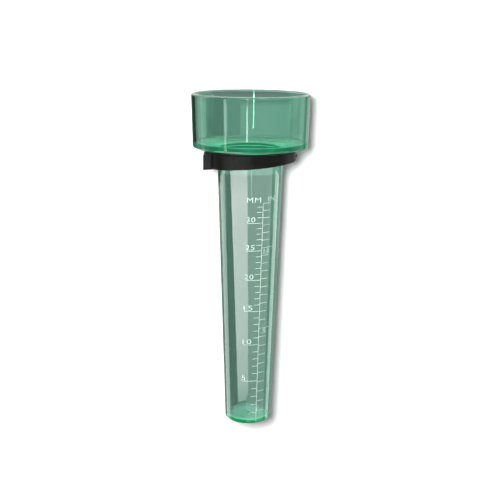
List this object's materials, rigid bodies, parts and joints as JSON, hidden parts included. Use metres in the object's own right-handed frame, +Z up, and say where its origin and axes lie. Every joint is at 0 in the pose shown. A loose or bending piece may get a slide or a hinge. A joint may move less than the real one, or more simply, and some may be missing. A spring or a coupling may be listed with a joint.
{
  "type": "manual rain gauge",
  "caption": "Clear green cup and tapered measuring tube moulded in one, hung in a black screw-on ring bracket and lifted out to empty.",
  "frame": {"origin": "centre of the tube's flat base, which is also the bottom centre of the whole part", "axes": "+Z up along the tube; -X towards the wall or post behind the bracket's pad; the printed scale faces -Y, a little towards +X"},
  "size_m": [0.0818, 0.0818, 0.2378],
  "materials": {
    "clear_green_plastic": "clear, lightly green-tinted, polished moulding",
    "black_plastic": "soft satin moulding",
    "scale_print": "thin pale printing ink"
  },
  "bodies": {
    "bracket": {"bracket_ring": "black_plastic"},
    "vessel": {"gauge_vessel": "clear_green_plastic"}
  },
  "joints": [
    {"name": "lift_out", "type": "slide", "parent": "bracket", "child": "vessel", "axis": [0, 0, 1], "range_m": [0, 0.21]}
  ]
}
